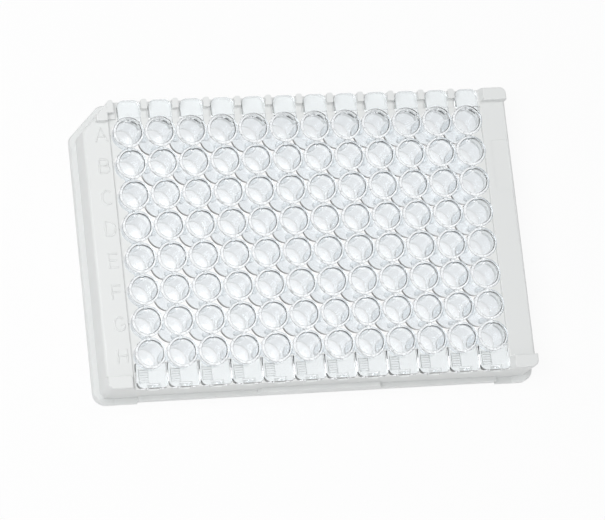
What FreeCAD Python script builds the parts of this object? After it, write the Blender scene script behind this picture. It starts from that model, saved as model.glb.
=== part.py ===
import FreeCAD, Part
import math
import os

# A 96-well strip plate: one white moulded frame on the standard microplate footprint, holding twelve clear
# strips of eight flat-bottomed wells. Millimetres, +Z up. The origin is the middle of the footprint on the
# surface that the plate stands on. Columns 1 to 12 run along +X, and rows H to A run along +Y.

Vector = FreeCAD.Vector

# The plate
plate_length = 127.76
plate_width = 85.48
plate_height = 14.35
columns = 12
rows = 8
well_pitch = 9.0

# The frame's outline: a flange round the foot, and a body set in from it
flange_height = 2.4
flange_ledge = 1.75
flange_edge_break = 0.3
corner_radius = 3.6
notch_leg = 9.0
notch_corner_radius = 2.75
least_radius = 0.3

# The front of the flange: low pads at its corners, plain runs set back from them, and a tall middle
front_set_back = 0.45
front_shift = 0.7
pad_start = 52.2
pad_slope_start = 58.0
pad_height = 0.8
middle_half_length = 18.0
middle_height = 4.8
middle_ramp = 1.0

# The moulding's walls
deck_height = 12.2
deck_thickness = 1.8
outer_wall = 1.5
inner_wall = 1.2
inner_wall_foot = 2.9
deck_edge_radius = 0.9

# The opening that the wells hang in: how far it stands off the outermost wells
field_side_gap = 0.5
field_end_gap = 0.1
field_edge_radius = 0.3

# Lugs and posts that stand as high as the wells
lug_depth = 3.65
lug_slope = 0.9
lug_edge_radius = 0.35
notch_lug_inset = 0.5
notch_lug_length = 3.2
notch_lug_depth = 5.8
notch_post_lap = 0.1
notch_post_length = 1.75
notch_post_radius = 1.4
post_depth = 2.8
post_corner_radius = 0.6

# The panel beside column 12
panel_length = 14.9
panel_width = 5.0
panel_inset = 0.65
panel_middle = 18.45
panel_depth = 0.25
panel_radius = 1.0

# The strips: each well nearly touches the next strip's
strip_gap = 0.2
well_wall = 1.0
well_foot = 2.4
floor_thickness = 1.05
web_thickness = 1.4
web_drop = 0.6
web_depth = 8.0

# The tabs that carry a strip on the frame
seat_drop = 0.8
tab_thickness = 1.9
tab_reach = 2.5
tab_radius = 1.8
a_tab_length = 6.5
a_tab_shift = 0.9
a_pocket_near_gap = 0.1
a_pocket_far_gap = 0.65
h_tab_radius = 0.8

# The latch under each H tab, and its window in the front wall
latch_length = 2.4
latch_drop = 1.8
latch_shift = 1.1
latch_side_gap = 0.1
latch_far_gap = 1.2
latch_end_gap = 0.3

# Sizes that follow from these
half_length = plate_length / 2
half_width = plate_width / 2
body_half_length = half_length - flange_ledge
body_half_width = half_width - flange_ledge
well_radius = (well_pitch - strip_gap) / 2
first_column = -(columns - 1) * well_pitch / 2
first_row = (rows - 1) * well_pitch / 2
field_half_length = -first_column + well_radius + field_side_gap
field_half_width = first_row + well_radius + field_end_gap
seat_height = deck_height - seat_drop
above = plate_height + 1.0


def outline(corners):
    """A closed flat face. Each corner is (x, y, radius), rounded by an arc that is tangent to both sides."""
    edges = []
    joints = []
    for i, (x, y, radius) in enumerate(corners):
        here = Vector(x, y, 0)
        before = corners[i - 1]
        after = corners[(i + 1) % len(corners)]
        back = (Vector(before[0], before[1], 0) - here).normalize()
        ahead = (Vector(after[0], after[1], 0) - here).normalize()
        angle = back.getAngle(ahead)
        run = radius / math.tan(angle / 2)
        inward = (back + ahead).normalize()
        middle = here + inward * (radius / math.sin(angle / 2) - radius)
        joints.append((here + back * run, middle, here + ahead * run, radius))
    for i, (start, middle, end, radius) in enumerate(joints):
        if radius > 0:
            edges.append(Part.Arc(start, middle, end).toShape())
        edges.append(Part.makeLine(end, joints[(i + 1) % len(joints)][0]))
    return Part.Face(Part.Wire(edges))


def slab(face, bottom, top):
    """A flat face raised into a solid from one height to another."""
    raised = face.copy()
    raised.translate(Vector(0, 0, bottom))
    return raised.extrude(Vector(0, 0, top - bottom))


def box(x_from, x_to, y_from, y_to, bottom, top):
    corner = Vector(x_from, y_from, bottom)
    return Part.makeBox(x_to - x_from, y_to - y_from, top - bottom, corner)


def front_prism(points, y_from, y_to):
    """A prism along Y over a closed profile of (x, z) points."""
    loop = [Vector(x, y_from, z) for x, z in points]
    return Part.Face(Part.makePolygon(loop + loop[:1])).extrude(Vector(0, y_to - y_from, 0))


def plate_outline(inset):
    """The plate's outline moved inwards, with its A1 corner cut off at 45 degrees."""
    x = half_length - inset
    y = half_width - inset
    leg = notch_leg - inset * (2 - math.sqrt(2))
    corner = max(corner_radius - inset, least_radius)
    notch_corner = max(notch_corner_radius - inset, least_radius)
    return outline([
        (-x, -y, corner),
        (x, -y, corner),
        (x, y, corner),
        (-x + leg, y, notch_corner),
        (-x, y - leg, notch_corner),
    ])


def top_edges(solid):
    """The edges round a solid's top face."""
    top = solid.BoundBox.ZMax
    return [edge for edge in solid.Edges if edge.BoundBox.ZMin > top - 0.001]


def column_x(column):
    return first_column + column * well_pitch


def row_y(row):
    return first_row - row * well_pitch


def flange():
    """The foot of the frame, with the pads, set-back runs and tall middle of its front side."""
    foot = slab(plate_outline(0), 0, flange_height)
    foot = foot.makeChamfer(flange_edge_break, top_edges(foot))
    run_start = front_shift - pad_start
    run_end = front_shift + pad_start
    front = -half_width
    foot = foot.cut(box(run_start, run_end, front - 1, front + front_set_back, -1, above))
    for end, side in ((run_start, -1), (run_end, 1)):
        pad = [
            (end, flange_height + 1),
            (end, pad_height),
            (side * pad_slope_start, pad_height),
            (side * body_half_length, flange_height),
            (side * body_half_length, flange_height + 1),
        ]
        foot = foot.cut(front_prism(pad, front - 1, -body_half_width))
    middle_start = front_shift - middle_half_length
    middle_end = front_shift + middle_half_length
    middle = [
        (middle_start, 0),
        (middle_end, 0),
        (middle_end, flange_height),
        (middle_end - middle_ramp, middle_height),
        (middle_start + middle_ramp, middle_height),
        (middle_start, flange_height),
    ]
    return foot.fuse(front_prism(middle, front + front_set_back, -body_half_width + outer_wall / 2))


def body():
    """The frame's raised part, with its top edge rounded."""
    block = slab(plate_outline(flange_ledge), 0, deck_height)
    return block.makeFillet(deck_edge_radius, top_edges(block))


def lugs():
    """The stops that stand on the deck at its four corners, flush with the outer walls."""
    low = deck_height - 1.5 * deck_edge_radius
    rise = slab(plate_outline(flange_ledge), low, plate_height)
    head = field_half_length + lug_slope
    raised = []
    for side in (-1, 1):
        profile = [
            (side * field_half_length, low),
            (side * field_half_length, deck_height),
            (side * head, plate_height),
            (side * half_length, plate_height),
            (side * half_length, low),
        ]
        raised.append(front_prism(profile, -half_width, -body_half_width + lug_depth))
        if side > 0:
            raised.append(front_prism(profile, body_half_width - lug_depth, half_width))
    notch_end = -field_half_length - notch_lug_inset
    notch_start = notch_end - notch_lug_length
    notch_front = body_half_width - notch_lug_depth
    raised.append(box(notch_start, notch_end, notch_front, half_width, low, plate_height))
    finished = []
    for lug in raised:
        trimmed = lug.common(rise).removeSplitter()
        finished.append(trimmed.makeFillet(lug_edge_radius, top_edges(trimmed)))
    return finished


def pocket_ends(column):
    """Where the pocket of a column's A tab starts and ends along X."""
    middle = column_x(column) + a_tab_shift
    start = middle - a_tab_length / 2 - a_pocket_far_gap
    end = middle + a_tab_length / 2 + a_pocket_near_gap
    return start, end


def post(x_from, x_to, depth, near_radius):
    """A post on the back wall beside an A tab, its outer corners rounded as far as its width allows."""
    back = body_half_width
    width = x_to - x_from
    far_corner = min(post_corner_radius, 0.45 * width)
    near_corner = min(near_radius, 0.95 * width - far_corner)
    plan = outline([
        (x_from, back - depth, 0),
        (x_to, back - depth, 0),
        (x_to, back, far_corner),
        (x_from, back, near_corner),
    ])
    return slab(plan, seat_height, plate_height)


def posts():
    """Posts between neighbouring A tabs, and one more before the first tab."""
    standing = []
    for column in range(columns - 1):
        x_from = pocket_ends(column)[1]
        x_to = pocket_ends(column + 1)[0]
        standing.append(post(x_from, x_to, post_depth, post_corner_radius))
    x_from = -field_half_length - notch_lug_inset - notch_post_lap
    standing.append(post(x_from, x_from + notch_post_length, lug_depth, notch_post_radius))
    return standing


def underside():
    """The groove under the deck, between the outer wall and the wall round the wells."""
    groove = slab(plate_outline(flange_ledge + outer_wall), -1, deck_height - deck_thickness)
    x = field_half_length + inner_wall
    y = field_half_width + inner_wall
    return groove.cut(box(-x, x, -y, y, inner_wall_foot, above))


def seats():
    """What the tabs lie in: one long recess in front, a pocket for each strip behind."""
    x = field_half_length
    cuts = [box(-x, x, -half_width - 1, -field_half_width, seat_height, above)]
    for column in range(columns):
        start, end = pocket_ends(column)
        cuts.append(box(start, end, field_half_width, half_width, seat_height, above))
    return cuts


def edge_round(side):
    """What is cut away to round the deck's edge beside the outermost strip: a corner, less a rod."""
    radius = field_edge_radius
    start = -body_half_width + lug_depth
    end = field_half_width
    middle = field_half_length + radius
    low = deck_height - radius
    corner = box(field_half_length - radius, middle, start, end, low, deck_height + radius)
    rod = Part.makeCylinder(radius, end - start, Vector(middle, start, low), Vector(0, 1, 0))
    cutter = corner.cut(rod)
    if side < 0:
        cutter = cutter.mirror(Vector(0, 0, 0), Vector(1, 0, 0))
    return cutter


def window(column):
    """The window in the front wall that a strip's latch stands in."""
    start = column_x(column) + latch_shift - latch_length / 2 - latch_far_gap
    end = column_x(column) + latch_shift + latch_length / 2 + latch_side_gap
    bottom = seat_height - latch_drop - latch_end_gap
    return box(start, end, -body_half_width - 0.01, -body_half_width + outer_wall, bottom, above)


def panel():
    """The shallow panel in the deck beside column 12."""
    outer = body_half_length - panel_inset
    inner = outer - panel_width
    near = panel_middle - panel_length / 2
    far = panel_middle + panel_length / 2
    corners = [(inner, near), (outer, near), (outer, far), (inner, far)]
    plan = outline([(x, y, panel_radius) for x, y in corners])
    return slab(plan, deck_height - panel_depth, deck_height + 0.01)


def make_frame():
    """The white moulding that holds the strips."""
    solid = flange().fuse([body()])
    opening = box(
        -field_half_length, field_half_length, -field_half_width, field_half_width, -1, above
    )
    solid = solid.cut(underside())
    solid = solid.cut([opening, panel(), edge_round(-1), edge_round(1)] + seats())
    solid = solid.fuse(lugs() + posts())
    solid = solid.cut([window(column) for column in range(columns)])
    return solid.removeSplitter()


def well_body(y):
    """The outside of one well."""
    return Part.makeCylinder(well_radius, plate_height - well_foot, Vector(0, y, well_foot))


def well_bore(y):
    """The inside of one well, down to its flat floor."""
    floor = well_foot + floor_thickness
    return Part.makeCylinder(well_radius - well_wall, plate_height - floor, Vector(0, y, floor))


def web():
    """The upright web that joins a strip's wells."""
    top = plate_height - web_drop
    half = web_thickness / 2
    return box(-half, half, row_y(rows - 1), row_y(0), top - web_depth, top)


def a_tab():
    """The narrow tab at a strip's A end, which lies in a pocket of the frame."""
    start = a_tab_shift - a_tab_length / 2
    end = a_tab_shift + a_tab_length / 2
    plan = outline([
        (start, row_y(0) + tab_reach, 0),
        (end, row_y(0) + tab_reach, 0),
        (end, body_half_width, tab_radius),
        (start, body_half_width, tab_radius),
    ])
    return slab(plan, seat_height, seat_height + tab_thickness)


def h_tab():
    """The wide tab at a strip's H end, with the latch under its outer edge."""
    plan = outline([
        (-well_radius, -body_half_width, tab_radius),
        (well_radius, -body_half_width, h_tab_radius),
        (well_radius, row_y(rows - 1) - tab_reach, 0),
        (-well_radius, row_y(rows - 1) - tab_reach, 0),
    ])
    latch = box(
        latch_shift - latch_length / 2,
        latch_shift + latch_length / 2,
        -body_half_width,
        -body_half_width + outer_wall - latch_end_gap,
        seat_height - latch_drop,
        seat_height + tab_thickness / 2,
    )
    return slab(plan, seat_height, seat_height + tab_thickness).fuse(latch)


def make_strip():
    """One clear moulding of eight wells, centred on its column."""
    wells = [well_body(row_y(row)) for row in range(rows)]
    bores = [well_bore(row_y(row)) for row in range(rows)]
    solid = wells[0].fuse(wells[1:] + [web(), a_tab(), h_tab()])
    return solid.cut(bores).removeSplitter()


os.makedirs("parts", exist_ok=True)
make_frame().exportStep("parts/frame.step")
strip = make_strip()
for column in range(columns):
    placed = strip.copy()
    placed.translate(Vector(column_x(column), 0, 0))
    placed.exportStep(f"parts/strip_{column + 1:02d}.step")
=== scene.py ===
import math

import bmesh
import bpy
from mathutils import Matrix, Vector


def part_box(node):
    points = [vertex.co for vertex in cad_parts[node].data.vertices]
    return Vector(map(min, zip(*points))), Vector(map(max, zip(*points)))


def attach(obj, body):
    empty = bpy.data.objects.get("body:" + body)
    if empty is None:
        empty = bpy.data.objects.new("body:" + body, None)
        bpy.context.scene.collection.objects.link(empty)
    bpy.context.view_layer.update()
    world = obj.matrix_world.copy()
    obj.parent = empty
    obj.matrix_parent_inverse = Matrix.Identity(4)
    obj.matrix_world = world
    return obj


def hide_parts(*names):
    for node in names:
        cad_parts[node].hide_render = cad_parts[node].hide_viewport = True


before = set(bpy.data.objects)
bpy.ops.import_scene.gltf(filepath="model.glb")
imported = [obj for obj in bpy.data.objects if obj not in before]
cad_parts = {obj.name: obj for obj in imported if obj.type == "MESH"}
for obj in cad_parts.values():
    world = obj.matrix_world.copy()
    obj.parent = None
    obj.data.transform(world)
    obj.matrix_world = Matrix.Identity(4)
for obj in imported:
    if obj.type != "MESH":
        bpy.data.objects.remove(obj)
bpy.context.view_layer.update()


# ---- The frame ----
# One piece of white high-impact polystyrene, injection moulded in a finely bead-blasted tool: foot, walls,
# deck, lugs and posts, with a satin skin and slightly soft edges. Its shape is the CAD node's, with a
# shallower wall round the opening: below the deck's lip the wells hang free over the table.

# one millimetre, in metres: plain sizes below are in millimetres, and those times mm are in metres
mm = 0.001
opening_half_length = 54.38
opening_half_width = 35.98
lip_thickness = 1.2
lip_foot = 9.9
cut_margin = 0.05
cut_below = 2.0
weld_distance = 0.0005


def to_linear(code):
    """A hex sRGB colour as the linear colour that a shader takes."""
    channels = [int(code[i:i + 2], 16) / 255 for i in (1, 3, 5)]
    return tuple(c / 12.92 if c <= 0.04045 else ((c + 0.055) / 1.055) ** 2.4 for c in channels) + (1.0,)


def add_node(tree, kind, links=None, **settings):
    """A node with its settings. Each link is an input's name or number, and the socket or value it takes."""
    node = tree.nodes.new(kind)
    for name, value in settings.items():
        setattr(node, name, value)
    for name, value in (links or {}).items():
        if isinstance(value, bpy.types.NodeSocket):
            tree.links.new(value, node.inputs[name])
        else:
            node.inputs[name].default_value = value
    return node


def polystyrene_white_moulded():
    """Opaque white polystyrene: a satin skin, a faint cloudiness from the flow, and a fine even grain."""
    material = bpy.data.materials.new("polystyrene_white_moulded")
    material.use_nodes = True
    tree = material.node_tree
    tree.nodes.clear()
    place = add_node(tree, "ShaderNodeTexCoord").outputs["Object"]
    # flow marks: clouds about 14 mm across, drawn out along the plate
    drawn = add_node(tree, "ShaderNodeMapping", {"Vector": place, "Scale": (0.45, 1.0, 1.0)})
    flow = add_node(
        tree, "ShaderNodeTexNoise", {"Vector": drawn.outputs[0], "Scale": 1 / (14 * mm), "Detail": 3.0}
    )
    # inputs 6 and 7 of a colour mix are its two colours
    white = add_node(
        tree, "ShaderNodeMix",
        {"Factor": flow.outputs["Fac"], 6: to_linear("#e6e8e7"), 7: to_linear("#eaecec")},
        data_type="RGBA",
    )
    gloss = add_node(
        tree, "ShaderNodeMapRange",
        {"Value": flow.outputs["Fac"], "From Min": 0.3, "From Max": 0.7, "To Min": 0.36, "To Max": 0.46},
    )
    # the tool's bead-blast grain is 0.05 mm; 0.35 mm is as fine as shows
    grain = add_node(tree, "ShaderNodeTexNoise", {"Vector": place, "Scale": 1 / (0.35 * mm), "Detail": 2.0})
    bump = add_node(
        tree, "ShaderNodeBump", {"Height": grain.outputs["Fac"], "Strength": 0.12, "Distance": 0.02 * mm}
    )
    surface = add_node(
        tree, "ShaderNodeBsdfPrincipled",
        {
            "Base Color": white.outputs[2],
            "Roughness": gloss.outputs[0],
            "Normal": bump.outputs[0],
            "IOR": 1.59,
        },
    )
    add_node(tree, "ShaderNodeOutputMaterial", {"Surface": surface.outputs[0]})
    return material


white_polystyrene = polystyrene_white_moulded()


def object_from(name, bm):
    """An object with the mesh that a bmesh holds. The bmesh is freed."""
    mesh = bpy.data.meshes.new(name)
    bm.to_mesh(mesh)
    bm.free()
    piece = bpy.data.objects.new(name, mesh)
    bpy.context.scene.collection.objects.link(piece)
    return piece


def moulding_with_short_lip():
    """The moulding, with the wall round its opening cut off at the foot of the lip."""
    bm = bmesh.new()
    bm.from_mesh(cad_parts["frame"].data)
    bmesh.ops.remove_doubles(bm, verts=bm.verts, dist=weld_distance * mm)
    whole = object_from("white_frame", bm)
    half_length = opening_half_length + lip_thickness + cut_margin
    half_width = opening_half_width + lip_thickness + cut_margin
    bm = bmesh.new()
    bmesh.ops.create_cube(bm, size=1.0)
    size = Vector((2 * half_length, 2 * half_width, lip_foot + cut_below)) * mm
    bmesh.ops.scale(bm, vec=size, verts=bm.verts)
    bmesh.ops.translate(bm, vec=(0, 0, (lip_foot - cut_below) / 2 * mm), verts=bm.verts)
    space = object_from("space_below_lip", bm)
    cut = whole.modifiers.new("short lip", "BOOLEAN")
    cut.operation = "DIFFERENCE"
    cut.solver = "EXACT"
    cut.object = space
    mesh = bpy.data.meshes.new_from_object(whole.evaluated_get(bpy.context.evaluated_depsgraph_get()))
    whole.modifiers.clear()
    whole.data = mesh
    bpy.data.objects.remove(space)
    return whole


moulding = moulding_with_short_lip()
moulding.data.materials.clear()
moulding.data.materials.append(white_polystyrene)
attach(moulding, "root")
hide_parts("frame")


# ---- The ledge round the wells ----
# Part of the same white moulding: a thin scalloped ledge inside the opening. It follows the outermost wells
# and steadies them. Its wedges fill the hollows between neighbouring wells, level with the deck along row A
# and just under the tabs elsewhere.

# the wells' middles, in metres and in millimetres
strip_boxes = [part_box(f"strip_{column:02d}") for column in range(1, 13)]
column_x = [(low.x + high.x) / 2 for low, high in strip_boxes]
pitch = (column_x[-1] - column_x[0]) / 11
row_y = [(3.5 - row) * pitch for row in range(8)]
columns_mm = [x / mm for x in column_x]
rows_mm = [y / mm for y in row_y]

ledge_top = 11.38
ledge_top_at_a = 12.19
ledge_foot = 9.9
ledge_scallop = 4.42
ledge_reach = 1.7
# from the middles of the outermost wells to the opening's wall
side_wall = 4.88
end_wall = 4.48
# a hair off the lines through the wells' middles, so that no two wedges share an edge
# (an angle in radians, then a length)
scallop_start = 0.01
corner_gap = 0.02
hollow_steps = 8
corner_steps = 12


def prism(bm, plan, low, high, edge):
    """A flat plan raised between two heights, with its edges softened."""
    start = [bm.verts.new((x, y, low)) for x, y in plan]
    end = [bm.verts.new((x, y, high)) for x, y in plan]
    faces = [bm.faces.new(start[::-1]), bm.faces.new(end)]
    for i in range(len(plan)):
        j = (i + 1) % len(plan)
        faces.append(bm.faces.new((start[i], start[j], end[j], end[i])))
    if edge:
        flat_edges = list(faces[0].edges) + list(faces[1].edges)
        bmesh.ops.bevel(bm, geom=flat_edges, offset=edge, segments=2, profile=0.5, affect="EDGES")


def mesh_of(name, build):
    """A mesh object in millimetres from a function that fills a bmesh."""
    bm = bmesh.new()
    build(bm)
    bmesh.ops.recalc_face_normals(bm, faces=bm.faces)
    return object_from(name, bm)


def hollow(bm, near, far, out, wall, top):
    """A wedge between two neighbouring wells and the wall of the opening, which lies the way out points."""
    along = (far - near).normalized()
    limit = math.acos(ledge_reach / ledge_scallop)
    angles = [scallop_start + (limit - scallop_start) * i / hollow_steps for i in range(hollow_steps + 1)]
    plan = [near + ledge_scallop * (out * math.cos(a) + along * math.sin(a)) for a in angles]
    plan += [far + ledge_scallop * (out * math.cos(a) - along * math.sin(a)) for a in angles[::-1]]
    plan += [plan[-1] + out * (wall - ledge_scallop), plan[0] + out * (wall - ledge_scallop)]
    prism(bm, [tuple(p) for p in plan], ledge_foot, top, 0)


def corner_wedge(bm, corner):
    """The wedge round one of the four corner wells. corner is 1 or -1 along the plate and across it."""
    middle = Vector((columns_mm[-1] * corner.x, rows_mm[0] * corner.y))
    arc = math.pi / 2 - 2 * scallop_start
    angles = [scallop_start + arc * i / corner_steps for i in range(corner_steps + 1)]
    plan = [middle + ledge_scallop * Vector((corner.x * math.sin(a), corner.y * math.cos(a))) for a in angles]
    plan += [
        middle + Vector((corner.x * side_wall, corner.y * corner_gap)),
        middle + Vector((corner.x * side_wall, corner.y * end_wall)),
        middle + Vector((corner.x * corner_gap, corner.y * end_wall)),
    ]
    prism(bm, [tuple(p) for p in plan], ledge_foot, ledge_top, 0)


def ledge(bm):
    """The whole ledge: along rows A and H, then along columns 1 and 12, then the corners."""
    for out, top in ((Vector((0, 1)), ledge_top_at_a), (Vector((0, -1)), ledge_top)):
        y = rows_mm[0] * out.y
        for x in columns_mm[:-1]:
            hollow(bm, Vector((x, y)), Vector((x + pitch / mm, y)), out, end_wall, top)
    for out in (Vector((-1, 0)), Vector((1, 0))):
        x = columns_mm[-1] * out.x
        for y in rows_mm[1:]:
            hollow(bm, Vector((x, y)), Vector((x, y + pitch / mm)), out, side_wall, ledge_top)
    for corner in ((-1, 1), (1, 1), (1, -1), (-1, -1)):
        corner_wedge(bm, Vector(corner))


well_ledge = mesh_of("well_ledge", ledge)
well_ledge.data.transform(Matrix.Scale(mm, 4))
well_ledge.data.materials.append(white_polystyrene)
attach(well_ledge, "root")


# ---- The row letters ----
# One letter beside each well of column 1, A at the back and H at the front, in the deck's own white
# polystyrene. Each stroke is a fine rounded ridge, left where a groove was cut in the moulding tool.

letter_height = 3.9 * mm
letter_width = 2.7 * mm
letter_middle = -56.95 * mm
ridge_radius = 0.3 * mm
ridge_rise = 0.27 * mm
deck_top = 12.2 * mm


def bowl(cx, cy, rx, ry, start, end, steps=14):
    """Points along part of an ellipse, from one angle to another in degrees."""
    angles = [math.radians(start + (end - start) * i / steps) for i in range(steps + 1)]
    return [(cx + rx * math.cos(a), cy + ry * math.sin(a)) for a in angles]


# strokes of each letter in a box one unit wide and one high, about its middle
letter_strokes = {
    "A": [[(-0.62, -0.5), (0, 0.5), (0.62, -0.5)], [(-0.38, -0.12), (0.38, -0.12)]],
    "B": [
        [(-0.5, -0.5), (-0.5, 0.5)],
        [(-0.5, 0.5)] + bowl(0.1, 0.26, 0.33, 0.24, 90, -90) + [(-0.5, 0.02)],
        bowl(0.12, -0.24, 0.38, 0.26, 90, -90) + [(-0.5, -0.5)],
    ],
    "C": [bowl(0.02, 0, 0.56, 0.5, 48, 312, 22)],
    "D": [
        [(-0.5, -0.5), (-0.5, 0.5)],
        [(-0.5, 0.5)] + bowl(-0.05, 0, 0.58, 0.5, 90, -90, 20) + [(-0.5, -0.5)],
    ],
    "E": [[(0.45, 0.5), (-0.45, 0.5), (-0.45, -0.5), (0.45, -0.5)], [(-0.45, 0.02), (0.36, 0.02)]],
    "F": [[(0.45, 0.5), (-0.45, 0.5), (-0.45, -0.5)], [(-0.45, 0.02), (0.36, 0.02)]],
    "G": [bowl(0.02, 0, 0.56, 0.5, 48, 335, 22) + [(0.53, -0.06), (0.12, -0.06)]],
    "H": [[(-0.48, -0.5), (-0.48, 0.5)], [(0.48, -0.5), (0.48, 0.5)], [(-0.48, 0.02), (0.48, 0.02)]],
}


def ridges(name, lines):
    """A mesh object of round-backed ridges along lines of (x, y, z) points."""
    curve = bpy.data.curves.new(name, "CURVE")
    curve.dimensions = "3D"
    curve.bevel_depth = ridge_radius
    curve.bevel_resolution = 3
    curve.use_fill_caps = True
    for points in lines:
        spline = curve.splines.new("POLY")
        spline.points.add(len(points) - 1)
        for point, place in zip(spline.points, points):
            point.co = (*place, 1)
    line = bpy.data.objects.new(name + "_line", curve)
    bpy.context.scene.collection.objects.link(line)
    mesh = bpy.data.meshes.new_from_object(line.evaluated_get(bpy.context.evaluated_depsgraph_get()))
    bpy.data.objects.remove(line)
    mesh.name = name
    mesh.shade_smooth()
    piece = bpy.data.objects.new(name, mesh)
    bpy.context.scene.collection.objects.link(piece)
    return piece


strokes = []
for letter, y in zip("ABCDEFGH", row_y):
    for points in letter_strokes[letter]:
        strokes.append([
            (letter_middle + u * letter_width, y + v * letter_height, deck_top + ridge_rise - ridge_radius)
            for u, v in points
        ])
row_letters = ridges("row_letters", strokes)
row_letters.data.materials.append(white_polystyrene)
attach(row_letters, "root")


# ---- The strips ----
# Twelve strips of clear crystal polystyrene, each moulded in one shot: eight tapered cups with a collar at
# the mouth and a flat floor, webs that join them, and a tab at each end that rests in the frame.

# a cup: heights, radii and the rounding of its corners
well_top = 14.35
well_foot = 2.4
collar_foot = 13.15
collar_radius = 4.4
collar_foot_radius = 4.26
neck_radius = 4.15
foot_radius = 3.9
mouth_radius = 3.5
floor_radius = 3.28
floor_level = 3.45
foot_corner = 0.06
floor_corner = 0.05
rim_corner = 0.04
mouth_corner = 0.28
cup_sides = 72

# the webs and tabs run into the middle of the cups' walls
wall_middle = 3.78
web_half = 0.5
web_foot = 12.0
web_top = 13.9
tab_foot = 11.44
tab_top = 13.3
tab_end = 40.99
tab_edge = 0.12
# a tab's sides leave the cup's wall this far beyond the well's middle
tab_root = 2.5
plan_steps = 8
inner_steps = 10

# the narrow tab at the A end, and its lower half, which is a hair smaller than the upper
a_left = -2.35
a_right = 4.15
a_radius = 1.8
a_root_gap = 0.1
a_neck_foot = 12.45
pad_start = 36.0
pad_inset = 0.03
pad_top = tab_top - 0.4

# the wide tab at the H end
h_half = 4.4
h_left_radius = 1.8
h_right_radius = 0.8

latch_left = 0.5
latch_right = 1.7
latch_near = -40.3
latch_far = -39.95
latch_foot = 9.6
latch_top = tab_foot + 0.5

# the grip: two long ridges and the ribs between them, with sloped sides
grip_left = -3.7
grip_right = -1.15
grip_near = -39.4
grip_far = -35.9
grip_overrun = 0.2
grip_half_line = 0.15
grip_slope = 0.13
grip_ribs_count = 6
side_sunk = 0.3
side_rise = 0.3
rib_sunk = 0.35
rib_rise = 0.26


def rounded(cx, cz, radius, start, end, steps=4):
    """Points (r, z) round a corner of the cup's section, from one angle to another in degrees."""
    angles = [math.radians(start + (end - start) * i / steps) for i in range(steps + 1)]
    return [(cx + radius * math.cos(a), cz + radius * math.sin(a)) for a in angles]


def cup_section():
    """The cup's half section, from the middle of its underside, round the mouth, to its floor's middle."""
    return (
        [(0, well_foot)]
        + rounded(foot_radius - foot_corner, well_foot + foot_corner, foot_corner, -90, 0)
        + [(neck_radius, collar_foot), (collar_foot_radius, collar_foot)]
        + rounded(collar_radius - rim_corner, well_top - rim_corner, rim_corner, 0, 90)
        + rounded(mouth_radius + mouth_corner, well_top - mouth_corner, mouth_corner, 90, 180, 8)
        + rounded(floor_radius - floor_corner, floor_level + floor_corner, floor_corner, 0, -90)
        + [(0, floor_level)]
    )


def turn(bm, section, x, y):
    """Turns a half section about an upright axis into a closed shell."""
    rings = []
    for r, z in section:
        if r == 0:
            rings.append([bm.verts.new((x, y, z))])
        else:
            angles = [2 * math.pi * i / cup_sides for i in range(cup_sides)]
            rings.append([bm.verts.new((x + r * math.cos(a), y + r * math.sin(a), z)) for a in angles])
    for lower, upper in zip(rings, rings[1:]):
        for i in range(cup_sides):
            j = (i + 1) % cup_sides
            corners = [
                lower[i % len(lower)], lower[j % len(lower)],
                upper[j % len(upper)], upper[i % len(upper)],
            ]
            bm.faces.new(list(dict.fromkeys(corners)))


def plan_corner(x, y, radius, start):
    """Points round a tab's corner, whose arc starts at the given angle and turns by 90 degrees."""
    angles = [math.radians(start + 90 * i / plan_steps) for i in range(plan_steps + 1)]
    return [(x + radius * math.cos(a), y + radius * math.sin(a)) for a in angles]


def inner_edge(y, side):
    """A tab's inner edge, along the middle of the cup's wall. side is 1 at the A end and -1 at the H end."""
    reach = math.degrees(math.asin(tab_root / wall_middle))
    sweep = 180 - 2 * reach
    angles = [math.radians(side * (180 - reach - sweep * i / inner_steps)) for i in range(inner_steps + 1)]
    return [(wall_middle * math.cos(a), y + wall_middle * math.sin(a)) for a in angles]


def cups(bm):
    """The eight cups, rows A to H."""
    for y in rows_mm:
        turn(bm, cup_section(), 0, y)


def webs(bm):
    """The seven upright webs that join one cup to the next."""
    for near, far in zip(rows_mm[1:], rows_mm):
        low = near + wall_middle
        high = far - wall_middle
        plan = [(-web_half, low), (web_half, low), (web_half, high), (-web_half, high)]
        prism(bm, plan, web_foot, web_top, 0)


def a_tab(bm):
    """The upper half of the narrow tab, which runs into the cup's wall."""
    y = rows_mm[0]
    inner = [p for p in inner_edge(y, 1) if p[0] > a_left + a_root_gap]
    start = (a_left, y + math.sqrt(wall_middle ** 2 - a_left ** 2))
    plan = [start] + inner + [(a_right, y + tab_root)]
    plan += plan_corner(a_right - a_radius, tab_end - a_radius, a_radius, 0)
    plan += plan_corner(a_left + a_radius, tab_end - a_radius, a_radius, 90)
    prism(bm, plan, a_neck_foot, tab_top, tab_edge)


def a_tab_pad(bm):
    """The lower half of the narrow tab, which stops short of the cup and rests in its seat."""
    plan = [(a_left + pad_inset, pad_start), (a_right - pad_inset, pad_start)]
    plan += plan_corner(a_right - a_radius, tab_end - a_radius, a_radius - pad_inset, 0)
    plan += plan_corner(a_left + a_radius, tab_end - a_radius, a_radius - pad_inset, 90)
    prism(bm, plan, tab_foot, pad_top, 0)


def h_tab(bm):
    """The wide tab, whose left corner is the rounder one."""
    y = rows_mm[-1]
    plan = [(-h_half, y - tab_root)]
    plan += plan_corner(-h_half + h_left_radius, -tab_end + h_left_radius, h_left_radius, 180)
    plan += plan_corner(h_half - h_right_radius, -tab_end + h_right_radius, h_right_radius, 270)
    plan += [(h_half, y - tab_root)]
    plan += inner_edge(y, -1)[::-1]
    prism(bm, plan, tab_foot, tab_top, tab_edge)


def block(bm, left, right, near, far, low, high, edge):
    """A block between two heights, with its edges softened or sloped."""
    prism(bm, [(left, near), (right, near), (right, far), (left, far)], low, high, edge)


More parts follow.
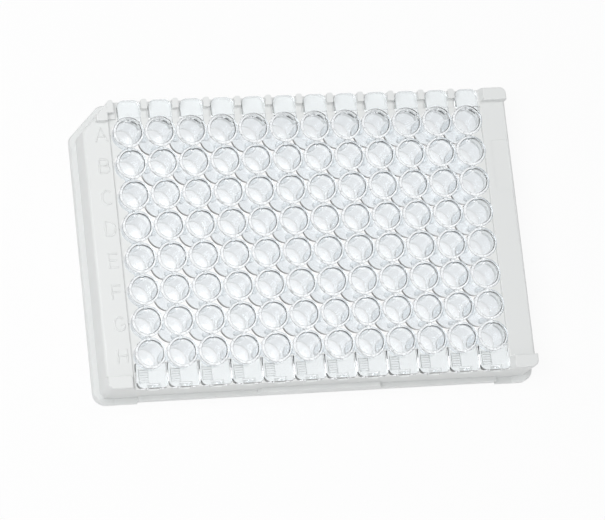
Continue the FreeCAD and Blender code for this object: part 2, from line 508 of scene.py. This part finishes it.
def latch(bm):
    """The stub under the H tab that stands in the frame's window, a little behind the wall's face."""
    block(bm, latch_left, latch_right, latch_near, latch_far, latch_foot, latch_top, 0)


def grip_sides(bm):
    """The two long ridges of the grip on the left of the H tab, where a fingernail lifts the strip."""
    near = grip_near - grip_overrun
    far = grip_far + grip_overrun
    low = tab_top - side_sunk
    high = tab_top + side_rise
    for x in (grip_left, grip_right):
        block(bm, x - grip_half_line, x + grip_half_line, near, far, low, high, grip_slope)


def grip_ribs(bm):
    """The cross ribs of the grip, a little lower than its long ridges."""
    low = tab_top - rib_sunk
    high = tab_top + rib_rise
    for i in range(grip_ribs_count):
        y = grip_near + (grip_far - grip_near) * i / (grip_ribs_count - 1)
        block(bm, grip_left, grip_right, y - grip_half_line, y + grip_half_line, low, high, grip_slope)


def united(name, first, others):
    """One closed skin round several overlapping solids."""
    for other in others:
        union = first.modifiers.new("union", "BOOLEAN")
        union.operation = "UNION"
        union.solver = "MANIFOLD"
        union.object = other
    whole = bpy.data.meshes.new_from_object(first.evaluated_get(bpy.context.evaluated_depsgraph_get()))
    for piece in [first, *others]:
        bpy.data.objects.remove(piece)
    whole.name = name
    return whole


joined_parts = (webs, a_tab, a_tab_pad, h_tab, latch, grip_sides, grip_ribs)
strip_mesh = united(
    "strip", mesh_of("cups", cups), [mesh_of(build.__name__, build) for build in joined_parts]
)
strip_mesh.transform(Matrix.Scale(mm, 4))
strip_mesh.shade_smooth()
strip_mesh.set_sharp_from_angle(angle=math.radians(32))

# the walls' darker tint is painted shade, standing in for light lost in the wells; it fades in just above the
# floor, and out just under the tabs
painted_shade_starts = 3.5
painted_shade_full_from = 3.9
painted_shade_full_to = 10.9
painted_shade_ends = 11.3


def polystyrene_clear_moulded():
    """Clear polystyrene: bright and glassy, bends light more than glass does, and is faintly cool."""
    material = bpy.data.materials.new("polystyrene_clear_moulded")
    material.use_nodes = True
    tree = material.node_tree
    tree.nodes.clear()
    place = add_node(tree, "ShaderNodeTexCoord").outputs["Object"]
    # shrinkage as it cools leaves the walls very slightly wavy, over about 3 mm
    waves = add_node(tree, "ShaderNodeTexNoise", {"Vector": place, "Scale": 1 / (3 * mm), "Detail": 1.0})
    bump = add_node(
        tree, "ShaderNodeBump", {"Height": waves.outputs["Fac"], "Strength": 0.25, "Distance": 0.05 * mm}
    )
    gloss = add_node(
        tree, "ShaderNodeMapRange",
        {"Value": waves.outputs["Fac"], "From Min": 0.3, "From Max": 0.7, "To Min": 0.02, "To Max": 0.05},
    )
    # painted shade: the steep walls get a darker tint, standing in for light lost in the wells; the floors
    # and tabs keep the paler tint
    height = add_node(tree, "ShaderNodeSeparateXYZ", {0: place}).outputs["Z"]
    above_floor = add_node(
        tree, "ShaderNodeMapRange",
        {"Value": height, "From Min": painted_shade_starts * mm, "From Max": painted_shade_full_from * mm},
    )
    below_tabs = add_node(
        tree, "ShaderNodeMapRange",
        {"Value": height, "From Min": painted_shade_ends * mm, "From Max": painted_shade_full_to * mm},
    )
    wall = add_node(
        tree, "ShaderNodeMath", {0: above_floor.outputs[0], 1: below_tabs.outputs[0]}, operation="MULTIPLY"
    )
    # the paler clear tint on floors and tabs, the darker painted shade on the walls
    clear = add_node(
        tree, "ShaderNodeMix",
        {"Factor": wall.outputs[0], 6: to_linear("#f0f3f5"), 7: to_linear("#e5e9ec")},
        data_type="RGBA",
    )
    surface = add_node(
        tree, "ShaderNodeBsdfPrincipled",
        {
            "Base Color": clear.outputs[2],
            "Roughness": gloss.outputs[0],
            "Normal": bump.outputs[0],
            "IOR": 1.59,
            "Transmission Weight": 1.0,
        },
    )
    # light passes straight through the thin walls on its way to the white frame
    passing = add_node(tree, "ShaderNodeBsdfTransparent", {"Color": to_linear("#ffffff")})
    rays = add_node(tree, "ShaderNodeLightPath")
    mixed = add_node(
        tree, "ShaderNodeMixShader",
        {0: rays.outputs["Is Diffuse Ray"], 1: surface.outputs[0], 2: passing.outputs[0]},
    )
    mixed = add_node(
        tree, "ShaderNodeMixShader",
        {0: rays.outputs["Is Shadow Ray"], 1: mixed.outputs[0], 2: passing.outputs[0]},
    )
    add_node(tree, "ShaderNodeOutputMaterial", {"Surface": mixed.outputs[0]})
    return material


strip_mesh.materials.clear()
strip_mesh.materials.append(polystyrene_clear_moulded())
for number, x in enumerate(column_x, 1):
    strip = bpy.data.objects.new(f"clear_strip_{number:02d}", strip_mesh)
    bpy.context.scene.collection.objects.link(strip)
    strip.location.x = x
    firm = strip.modifiers.new("flat faces stay flat", "WEIGHTED_NORMAL")
    firm.keep_sharp = True
    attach(strip, "root")
    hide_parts(f"strip_{number:02d}")


# ---- The stage ----
# A plain white laminate table in a pale room. A large soft window lights it from high on the left, and a
# weaker soft panel of the same size from higher still, on the right and behind.

# metres
table_half = 3.0
table_gap = 0.02 * mm

table_mesh = bpy.data.meshes.new("table")
table_corners = [(x * table_half, y * table_half, 0) for x, y in ((-1, -1), (1, -1), (1, 1), (-1, 1))]
table_mesh.from_pydata(table_corners, [], [(0, 1, 2, 3)])
table = bpy.data.objects.new("table", table_mesh)
table.location.z = -table_gap
bpy.context.scene.collection.objects.link(table)

# how much of the table's plain white is its own glow, where it is seen: the rest keeps the shadow
table_glow = 0.9
# how much of the room's plain white shows through the clear strips
room_through_strips = 0.8
# the light that the room gives: evenly from all round, and more towards each of these ways
room_light = 0.14
room_sides = (("X", 1.0, 0.12), ("Y", -1.0, 0.5), ("Y", 1.0, 0.3), ("Z", 1.0, 0.2))


def white_table():
    """A white laminate table that keeps a soft shadow and otherwise shows as plain white."""
    material = bpy.data.materials.new("table_white_laminate")
    material.use_nodes = True
    tree = material.node_tree
    tree.nodes.clear()
    matt = add_node(tree, "ShaderNodeBsdfDiffuse", {"Color": to_linear("#f2f2f2")})
    glow = add_node(tree, "ShaderNodeEmission", {"Color": (1, 1, 1, 1), "Strength": 1.0})
    rays = add_node(tree, "ShaderNodeLightPath")
    seen = add_node(
        tree, "ShaderNodeMath", {0: rays.outputs["Is Camera Ray"], 1: rays.outputs["Is Glossy Ray"]},
        operation="MAXIMUM",
    )
    seen = add_node(
        tree, "ShaderNodeMath", {0: seen.outputs[0], 1: rays.outputs["Is Transmission Ray"]},
        operation="MAXIMUM",
    )
    share = add_node(tree, "ShaderNodeMath", {0: seen.outputs[0], 1: table_glow}, operation="MULTIPLY")
    mixed = add_node(
        tree, "ShaderNodeMixShader", {0: share.outputs[0], 1: matt.outputs[0], 2: glow.outputs[0]}
    )
    add_node(tree, "ShaderNodeOutputMaterial", {"Surface": mixed.outputs[0]})
    return material


def pale_room():
    """A room that lights the table softly from every side, and shows as plain white itself."""
    world = bpy.data.worlds.new("room")
    world.use_nodes = True
    tree = world.node_tree
    tree.nodes.clear()
    direction = add_node(tree, "ShaderNodeTexCoord").outputs["Generated"]
    way = add_node(tree, "ShaderNodeSeparateXYZ", {0: direction}).outputs
    light = room_light
    for axis, end, strength in room_sides:
        more = add_node(tree, "ShaderNodeMapRange", {"Value": way[axis], "From Max": end, "To Max": strength})
        light = add_node(tree, "ShaderNodeMath", {0: light, 1: more.outputs[0]}, operation="ADD").outputs[0]
    room = add_node(tree, "ShaderNodeBackground", {"Color": (1, 1, 1, 1), "Strength": light})
    plain = add_node(tree, "ShaderNodeBackground", {"Color": (1, 1, 1, 1), "Strength": 1.0})
    rays = add_node(tree, "ShaderNodeLightPath")
    through = add_node(
        tree, "ShaderNodeMath", {0: rays.outputs["Is Transmission Ray"], 1: room_through_strips},
        operation="MULTIPLY",
    )
    seen = add_node(
        tree, "ShaderNodeMath", {0: rays.outputs["Is Camera Ray"], 1: through.outputs[0]}, operation="MAXIMUM"
    )
    shown = add_node(
        tree, "ShaderNodeMixShader", {0: seen.outputs[0], 1: room.outputs[0], 2: plain.outputs[0]}
    )
    add_node(tree, "ShaderNodeOutputWorld", {"Surface": shown.outputs[0]})
    return world


def lamp(name, place, size, watts):
    """A square soft lamp that points at the plate. Its place and size are in metres."""
    light = bpy.data.lights.new(name, "AREA")
    light.shape = "SQUARE"
    light.size = size
    light.energy = watts
    holder = bpy.data.objects.new(name, light)
    bpy.context.scene.collection.objects.link(holder)
    holder.location = place
    holder.rotation_mode = "QUATERNION"
    holder.rotation_quaternion = (-Vector(place)).to_track_quat("-Z", "Y")


table_mesh.materials.append(white_table())
bpy.context.scene.world = pale_room()
lamp("window", (-0.33, -0.02, 0.62), 0.4, 2.35)
lamp("panel", (0.19, 0.23, 0.94), 0.4, 0.9)

# a long lens, a metre away, high over the front left corner
camera_data = bpy.data.cameras.new("camera")
camera_data.sensor_width = 36.0
camera_data.lens = 220.9
camera = bpy.data.objects.new("camera", camera_data)
bpy.context.scene.collection.objects.link(camera)
camera.location = (-0.28157, -0.23733, 0.98505)
camera.rotation_euler = (math.radians(14.494), math.radians(-14.499), math.radians(-6.302))
bpy.context.scene.camera = camera

bpy.context.scene.view_settings.view_transform = "Standard"
# light crosses many clear walls on its way
cycles = bpy.context.scene.cycles
cycles.max_bounces = 32
cycles.transmission_bounces = 32
cycles.transparent_max_bounces = 32
cycles.glossy_bounces = 4
cycles.diffuse_bounces = 6
